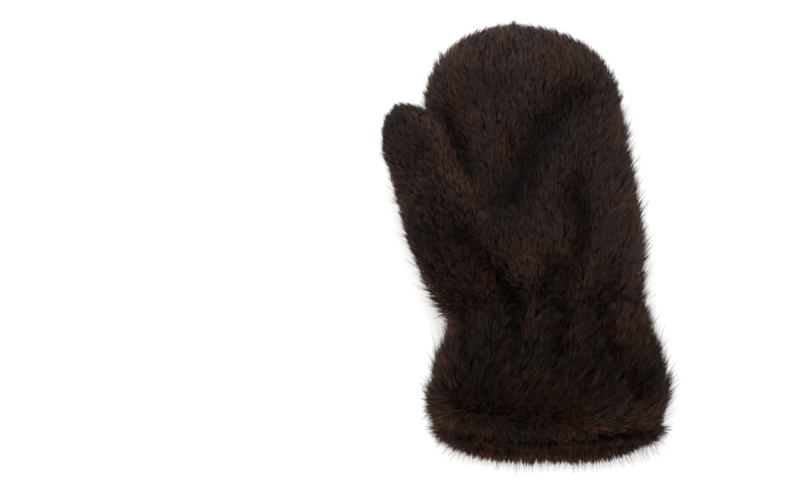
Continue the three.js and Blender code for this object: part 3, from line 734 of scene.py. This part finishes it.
# Degrees off the cloth, at the root and at the tip, where the fur stands up and where it lies flat.
lifting = {
    "flatFrom": 0.15, "flatTo": 0.75, "pullMiddle": 0.35,
    "root": {"stands": 82, "flat": 12, "least": 5, "most": 88},
    "tip": {"stands": 72, "flat": 4, "least": 2, "most": 85},
}


# Lifts the strands off the cloth, from root to tip, but not where the mitten rests on its fur.
def liftStrands(fur, strands, combed, standing, random):
    roots, out, along, count = strands.roots, strands.out, strands.along, strands.count
    under = smooth(-out[:, 2], lifting["flatFrom"], lifting["flatTo"])
    lean = random.standard_normal(count) * fur["strandLean"] + fur["tuftLean"] * swing(strands.lockNumber)
    standing = np.maximum(standing, readStops(fur["standing"], along))
    ways = []
    for end, lift in (("root", fur["rootLift"]), ("tip", fur["tipLift"])):
        angles = lifting[end]
        angle = mix(mix(lift, angles["stands"], standing), angles["flat"], under) + lean
        angle = np.radians(np.clip(angle, angles["least"], angles["most"]))
        ways.append(combed * np.cos(angle)[:, None] + out * np.sin(angle)[:, None])
    length = fur["length"] * (1 + fur["lengthVaries"] * swing(random.random(count)))
    guard = random.random(count) < fur["guardShare"]
    length *= np.where(guard, fur["guardLength"], 1)
    length *= readStops(fur["lengths"], along) * (1 + fur["edgeLength"] * np.cos(strands.turn) ** 4)
    lockLength = 1 + fur["lockLength"] * swing(remix(strands.lockNumber, "length"))
    length *= (1 - fur["foldShort"] * strands.fold) * lockLength
    middles = roots + ways[0] * (length * 0.5)[:, None]
    tips = middles + ways[1] * (length * 0.5)[:, None]
    for centre, pull in ((strands.tuftMiddle, fur["tuftPull"]), (strands.lockMiddle, fur["lockPull"])):
        draw = centre - roots
        draw -= out * (draw * out).sum(-1, keepdims=True)
        middles += draw * pull * lifting["pullMiddle"]
        tips += draw * pull
    return middles, tips, guard


pressing = {"middleOff": 1.2, "tipOff": 2.5, "floor": 0.6, "matLow": 0.25, "matThick": 1.6, "matTip": 0.6}


# Lays the strands along another tube that they run into, on the floor, and round the patch.
def pressStrands(strands, middles, tips, keepOff, random):
    for tube, margin in keepOff:
        middles = pushOut(middles, tube, margin + pressing["middleOff"])
        tips = pushOut(tips, tube, margin + pressing["tipOff"])
    lying = np.minimum(middles[:, 2], tips[:, 2]) < pressing["floor"]
    mat = pressing["matLow"] + pressing["matThick"] * random.random(strands.count)
    middles[:, 2] = np.where(lying, np.maximum(middles[:, 2], mat), middles[:, 2])
    tips[:, 2] = np.where(lying, np.maximum(tips[:, 2], mat * pressing["matTip"]), tips[:, 2])

    near = [atPatch(points, patchFur["margin"], patchFur["below"]) for points in (middles, tips)]
    falls = near[1] & ~near[0] & (remix(strands.lockNumber, "overhang") < patchFur["overhang"])
    for points, close in zip((middles, tips), near):
        points[:, 2] = np.where(close & ~falls, patchFur["pushedTo"], points[:, 2])
    over = patch["bottom"] - patchFur["middleOver"]
    middles[:, 2] = np.where(falls, np.minimum(middles[:, 2], over), middles[:, 2])
    tips[:, 2] = np.where(falls, patch["bottom"] - patchFur["tipOver"], tips[:, 2])
    return middles, tips


# Weights of the strand colour: the edge glow, the lit side and the folds are painted light and shade, the rest
# is random tone.
toning = {
    "warmth": 0.5, "lockWarmth": 0.3, "edgeGlowWarmth": 0.25, "strandWarmth": 0.25, "litWarmth": 0.35,
    "rootFoldShadow": 0.7, "base": 0.72, "cloud": 0.3, "mottle": 0.25, "fleckFrom": 0.35, "fleckTo": 0.6,
    "strandBase": 0.72, "strandVaries": 0.35,
}


# How warm and how bright each strand is, by its lock, its place on the piece and the fold that it is in. The
# brightness carries painted light and shade: painted shadow in the folds, lighter or darker along the piece and
# at its edges.
def toneStrands(fur, strands, tips, random):
    roots, along, turn, count = strands.roots, strands.along, strands.turn, strands.count
    # painted glow at the sides of each piece, where light shines through the pile, strongest on the left
    edge = np.cos(turn) ** 8
    leftEdgeGlow = edge * (np.cos(turn) < 0) * (1 - smooth(along, *fur["leftGlowFades"]))
    warm = fur["warm"] + toning["warmth"] * swing(softNoise(roots, *noises["warmth"]))
    warm += toning["lockWarmth"] * swing(strands.lockNumber)
    warm += toning["edgeGlowWarmth"] * edge + toning["edgeGlowWarmth"] * leftEdgeGlow
    warm += toning["strandWarmth"] * swing(random.random(count)) + readStops(fur["warmAlong"], along)

    # painted shadow in the folds, taken at the roots and at the tips
    shadow = np.maximum(toning["rootFoldShadow"] * strands.fold, foldAt(tips[:, 0], tips[:, 1], np.sin(turn)))
    shade = toning["base"] + toning["cloud"] * softNoise(roots, *noises["cloud"])
    shade = (1 - fur["foldShade"] * shadow) * (shade + toning["mottle"] * softNoise(roots, *noises["mottle"]))
    flecked = remix(strands.lockNumber, "fleck") < fur["fleckShare"]
    patchy = smooth(softNoise(roots, *noises["fleck"]), toning["fleckFrom"], toning["fleckTo"])
    shade *= 1 - fur["fleck"] * flecked * patchy
    shade *= 1 + fur["lockShade"] * swing(remix(strands.lockNumber, "shade"))
    bright = random.random(count) < fur["brightShare"]
    varied = toning["strandBase"] + toning["strandVaries"] * random.random(count)
    shade *= varied * np.where(bright, fur["brightTone"], 1)
    # painted light and shade along the piece, and the painted glow at its edges
    shade *= readStops(fur["paintedLightAlong"], along) * (1 + fur["edgeGlowTone"] * edge + fur["leftGlowTone"] * leftEdgeGlow)
    # painted light: one side of the piece lighter and warmer, as if the lamp fell on it
    if "lit" in fur:  # a side of the piece that is lighter and warmer than the rest
        middleTurn, reach, lighter = fur["lit"]
        lit = np.exp(-((turn - middleTurn) / reach) ** 2)
        warm, shade = warm + toning["litWarmth"] * lit, shade * (1 + lighter * lit)
    return np.stack([np.clip(warm, 0, 1), shade], -1)


def growFur(name, shape, fur, nodes, material, keepOff=()):
    random = np.random.default_rng(fur["seed"])
    strands = plantStrands(shape, fur, keepOff, random)
    roots, count = strands.roots, strands.count
    combed, standing = combStrands(fur, strands, random)
    middles, tips, guard = liftStrands(fur, strands, combed, standing, random)
    middles, tips = pressStrands(strands, middles, tips, keepOff, random)

    # Each blade turns its flat side mostly outwards, with a roll of its own.
    wide = unit(np.cross(middles - roots, strands.out))
    roll = np.radians(fur["roll"]) * random.standard_normal(count)
    across = unit(np.cross(unit(tips - roots), wide))
    wide = wide * np.cos(roll)[:, None] + across * np.sin(roll)[:, None]
    narrowest, variation = 0.7, 0.6
    widths = fur["width"] * (narrowest + variation * random.random(count))
    widths = widths * np.where(guard, fur["guardWidth"], 1)

    strandColour = toneStrands(fur, strands, tips, random)
    piece = copyBlades(name, roots, middles, tips, wide, widths, strandColour, material)
    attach(piece, "root")
    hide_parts(*nodes)
    print(f"{name}: {count} strands, {3 * count} triangles")


# Lists of pairs give a value at a place along the piece, from its start at 0 to its end at 1.
# The brightness lists along each piece are painted light and shade, not a change in the pile's colour.
handFur = {
    "seed": 11, "strands": 66000, "start": 0.0, "end": 0.998, "turns": (0, math.pi), "density": [(0, 1)],
    "inset": 0, "inward": False,
    "length": 11, "lengthVaries": 0.22, "lengths": [(0, 0.9), (0.12, 1.0), (0.6, 1.0), (0.8, 0.85), (1.0, 0.8)],
    "edgeLength": 0, "guardShare": 0.05, "guardLength": 1.75, "guardWidth": 0.4, "width": 0.5, "roll": 34,
    "rootLift": 60, "tipLift": 32, "strandLean": 7, "tuftLean": 7, "standing": [(0, 0.5), (0.12, 0)],
    "comb": "up", "fan": (-0.15 * cloth["handWidth"], cloth["handWidth"] / 2, 0.4),
    "sway": 14, "tuftSway": 9, "strandSway": 6,
    "tuft": 9.5, "tuftPull": 0.12, "lock": 2.6, "lockPull": 0.55, "lockLength": 0.16, "lockShade": 0.1,
    "foldShade": 0.76, "foldShort": 0.35, "fleck": 0.22, "fleckShare": 0.3,
    # painted light: the hand lighter at the wrist and towards the fingertips, and a painted glow along its left
    # edge
    "paintedLightAlong": [(0, 1.82), (0.1, 1.72), (0.2, 1.64), (0.5, 1.55), (0.75, 1.94), (1.0, 1.97)],
    "edgeGlowTone": 0, "leftGlowTone": 0.35, "leftGlowFades": (0.8, 0.985), "brightShare": 0.15, "brightTone": 1.45,
    "warm": 0.3, "warmAlong": [(0, 0.2), (0.5, 0.05), (1.0, -0.2)],
}
growFur("palm_fur", handCloth, handFur, ["palm_panel"], darkPile, [(thumbCloth, 0.5)])
growFur("back_fur", handCloth, {**handFur, "seed": 12, "strands": 46000, "turns": (math.pi, 2 * math.pi),
                                "width": 0.65}, ["back_panel"], darkPile)

thumbFur = {
    **handFur, "seed": 21, "strands": 42000, "start": -0.07, "turns": (0, 2 * math.pi),
    "length": 7.8, "lengths": [(0, 1.2), (0.2, 1.0), (1.0, 0.8)], "standing": [(0, 0.2), (0.12, 0)],
    "fan": (-0.35 * cloth["handWidth"], 0.5 * cloth["thumbWidth"], 0.3), "lockLength": 0.25,
    # painted light: the thumb lighter at its base, with a painted highlight down its upper right side
    "paintedLightAlong": [(-0.07, 2.35), (0.06, 2.15), (0.14, 1.3), (0.3, 1.15), (0.6, 1.1), (1.0, 1.0)],
    "lit": (0.2 * math.pi, 0.5, 0.95), "warm": 0.4, "warmAlong": [(0, 0.3), (0.3, 0)],
}
growFur("thumb_fur", thumbCloth, thumbFur, ["thumb"], darkPile, [(handCloth, 0.3)])

cuffFur = {
    **handFur, "seed": 31, "strands": 56000, "end": 1.0, "density": [(0, 1.5), (0.35, 1.1), (1, 1.0)],
    "length": 12.5, "edgeLength": 0.1, "lengths": [(0.0, 0.5), (0.12, 0.8), (0.3, 1.0), (0.8, 1.0), (1.0, 0.7)],
    "guardLength": 1.6, "roll": 40, "standing": [(0.85, 0), (1.0, 0.4)],
    "comb": "parted", "parting": (-0.45, -0.8, 0.12, -0.95), "partingReach": 24,
    "fan": (-0.38 * cloth["cuffWidth"], 0.3 * cloth["cuffWidth"], 0.6), "tuftSway": 14,
    "lock": 2.8, "lockPull": 0.6, "lockLength": 0.2, "lockShade": 0.35, "foldShade": 0.85, "fleck": 0.4,
    # painted light and shade: the cuff darker a quarter of the way up from the hem, lighter towards the wrist,
    # with a painted glow at its edges, most on the left
    "paintedLightAlong": [(0, 0.88), (0.25, 0.47), (0.7, 0.65), (0.85, 0.98), (1, 1.25)],
    "edgeGlowTone": 0.2, "leftGlowTone": 0.6, "leftGlowFades": (1, 2), "brightShare": 0.18, "brightTone": 2.8,
    "warm": 0.36, "warmAlong": [(0, 0.25), (0.4, 0)],
}
growFur("cuff_palm_fur", cuffCloth, cuffFur, ["cuff"], hemPile)
growFur("cuff_back_fur", cuffCloth, {
    **cuffFur, "seed": 32, "strands": 42000, "turns": (math.pi, 2 * math.pi), "width": 0.65,
    "parting": (-0.35, -1.1, 0.35, -1.1), "partingReach": 12,
    "fan": (cloth["cuffLean"], cloth["cuffWidth"] / 2, 0.35)}, ["cuff"], hemPile)

facingFur = {
    **cuffFur, "seed": 41, "strands": 30000, "end": facingEnd, "turns": (0, 2 * math.pi),
    "density": [(0, 1.6), (0.15, 1.0), (0.35, 0.8)], "inset": facingInset + wallLeft, "inward": True,
    "length": 7, "lengths": [(0, 1)], "width": 0.6, "rootLift": 35, "tipLift": 14, "standing": [(0, 0)],
    "comb": "down", "fan": (cloth["cuffLean"], cloth["cuffWidth"] / 2, 0.8), "foldShade": 0.2,
    # painted shade deeper inside the cuff's mouth, and painted light on the back half of the facing
    "paintedLightAlong": [(0, 0.75), (0.05, 0.6), (0.1, 0.3), (0.2, 0.3)], "lit": (1.5 * math.pi, 1.1, 1.9),
}
growFur("facing_fur", cuffCloth, facingFur, ["hem_facing"], hemPile)

hemFur = {
    **cuffFur, "seed": 51, "strands": 15000, "turns": (0, 2 * math.pi), "density": [(0, 1)],
    "length": 6.5, "lengths": [(0, 0.9), (1, 1.0)], "edgeLength": 0.8,
    "guardShare": 0.04, "guardLength": 2.5, "guardWidth": 0.3,
    "rootLift": 84, "tipLift": 72, "strandLean": 11, "standing": [(0, 0)],
    "comb": "up", "fan": (cloth["cuffLean"], cloth["cuffWidth"] / 2, 0.3), "foldShade": 0,
    # painted shade in the hem fold, and painted light on its back half
    "paintedLightAlong": [(0, 0.8), (0.4, 0.85), (0.8, 0.6), (1, 0.8)], "lit": (1.5 * math.pi, 1.1, 2.4),
}
growFur("hem_fur", hemFold, hemFur, ["cuff", "hem_facing"], hemPile)


# Leather patch: a block pressed to size, its corners and edges rounded, sewn on all round.
def cutPatch():
    deselectAll()
    middle = toFrame(np.array([*patchPlace, patch["bottom"] + patch["thickness"] / 2]))
    bpy.ops.mesh.primitive_cube_add(size=1, location=middle)
    piece = bpy.context.object
    piece.name = piece.data.name = "leather_patch"
    bpy.ops.transform.resize(value=(patch["width"] * mm, patch["length"] * mm, patch["thickness"] * mm))
    bpy.ops.object.transform_apply(location=True, rotation=True, scale=True)
    bpy.ops.object.mode_set(mode="EDIT")
    bpy.ops.mesh.select_mode(type="EDGE")
    bpy.ops.mesh.select_all(action="DESELECT")
    bpy.ops.object.mode_set(mode="OBJECT")
    for edge in piece.data.edges:
        a, b = (piece.data.vertices[v].co for v in edge.vertices)
        edge.select = abs(a.z - b.z) > 0.1 * mm
    bpy.ops.object.mode_set(mode="EDIT")
    bpy.ops.mesh.bevel(offset=patch["corner"] * mm, segments=5, affect="EDGES")
    bpy.ops.mesh.select_mode(type="FACE")
    bpy.ops.mesh.select_all(action="DESELECT")
    bpy.ops.object.mode_set(mode="OBJECT")
    for face in piece.data.polygons:
        face.select = abs(face.normal.z) > 0.9
    bpy.ops.object.mode_set(mode="EDIT")
    channel, channelDepth = patch["channel"] * mm, patch["channelDepth"] * mm  # the stitching lies in it
    bpy.ops.mesh.inset(thickness=patch["stitchInset"] * mm - channel)
    bpy.ops.mesh.inset(thickness=channel, depth=-channelDepth)
    bpy.ops.mesh.inset(thickness=channel, depth=channelDepth)
    bpy.ops.object.mode_set(mode="OBJECT")
    edges = piece.modifiers.new("edges", "BEVEL")
    edges.width, edges.segments = patch["edgeRound"] * mm, 3
    edges.limit_method, edges.angle_limit = "ANGLE", 1.0
    bpy.ops.object.modifier_apply(modifier=edges.name)
    bpy.ops.object.shade_smooth_by_angle(angle=math.radians(35))
    piece.data.materials.append(patchHide)
    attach(piece, "root")
    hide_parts("label_patch")


def sewPatch():  # each stitch is a ball, pulled long and sunk into the channel
    halfX, halfY = patchHalf - patch["stitchInset"]
    height = patch["bottom"] + patch["channelDepth"]
    stitches = []
    for half, other, turned in ((halfX, halfY, 0), (halfY, halfX, 1)):
        count = int(2 * half / patch["stitchSpacing"])
        for place in (np.arange(count) + 0.5) * 2 * half / count - half:
            for edge in (-other, other):
                stitches.append((edge, place, 1) if turned else (place, edge, 0))
    pieces = []
    for x, y, turned in stitches:
        deselectAll()
        bpy.ops.mesh.primitive_uv_sphere_add(segments=10, ring_count=8, radius=0.5)
        stitch = bpy.context.object
        along, across = patch["stitchLength"] * mm, patch["thread"] * mm
        bpy.ops.transform.resize(value=(across, along, across) if turned else (along, across, across))
        place = toFrame(np.array([patchPlace[0] + x, patchPlace[1] + y, height]))
        bpy.ops.transform.translate(value=place)
        bpy.ops.object.transform_apply(location=True, rotation=True, scale=True)
        pieces.append(stitch)
    deselectAll()
    for stitch in pieces:
        stitch.select_set(True)
    bpy.context.view_layer.objects.active = pieces[0]
    bpy.ops.object.join()
    piece = bpy.context.object
    piece.name = piece.data.name = "patch_stitching"
    bpy.ops.object.shade_smooth()
    piece.data.materials.append(seamThread)
    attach(piece, "root")


cutPatch()
sewPatch()
print("patch sewn on")


# Floor and studio light.
def layFloor():
    deselectAll()
    bpy.ops.mesh.primitive_plane_add(size=6)
    floor = bpy.context.object
    floor.name = floor.data.name = "floor"
    bpy.ops.object.mode_set(mode="EDIT")
    bpy.ops.mesh.subdivide(number_cuts=3)
    bpy.ops.object.mode_set(mode="OBJECT")
    paper, *_ = newMaterial("mattPaper", Roughness=0.9, Base_Color=hexColour("#fbfaf9"))
    floor.data.materials.append(paper)


def addLight(name, place, size, energy, colour):
    data = bpy.data.lights.new(name, "AREA")
    data.energy, data.size, data.color = energy, size, colour
    light = bpy.data.objects.new(name, data)
    bpy.context.collection.objects.link(light)
    light.location = place
    light.rotation_euler = (-Vector(place)).to_track_quat("-Z", "Y").to_euler()


layFloor()
studio = {  # place and size in metres, watts, colour
    "key": ((-0.2, 1.1, 1.4), 1.4, 20, (1.0, 0.99, 0.98)),
    "fillLeft": ((-1.3, 0.2, 1.2), 1.4, 10, (1.0, 0.97, 0.94)),
    "fillRight": ((1.3, -0.2, 1.3), 1.4, 5.5, (0.98, 0.98, 1.0)),
}
for lightName, settings in studio.items():
    addLight(lightName, *settings)
world = bpy.data.worlds.new("studio")
bpy.context.scene.world = world
world.use_nodes = True
background = world.node_tree.nodes["Background"]
background.inputs["Color"].default_value = (1, 1, 1, 1)
background.inputs["Strength"].default_value = 1.05
bpy.context.scene.view_settings.view_transform = "Standard"
print("floor and lights set")
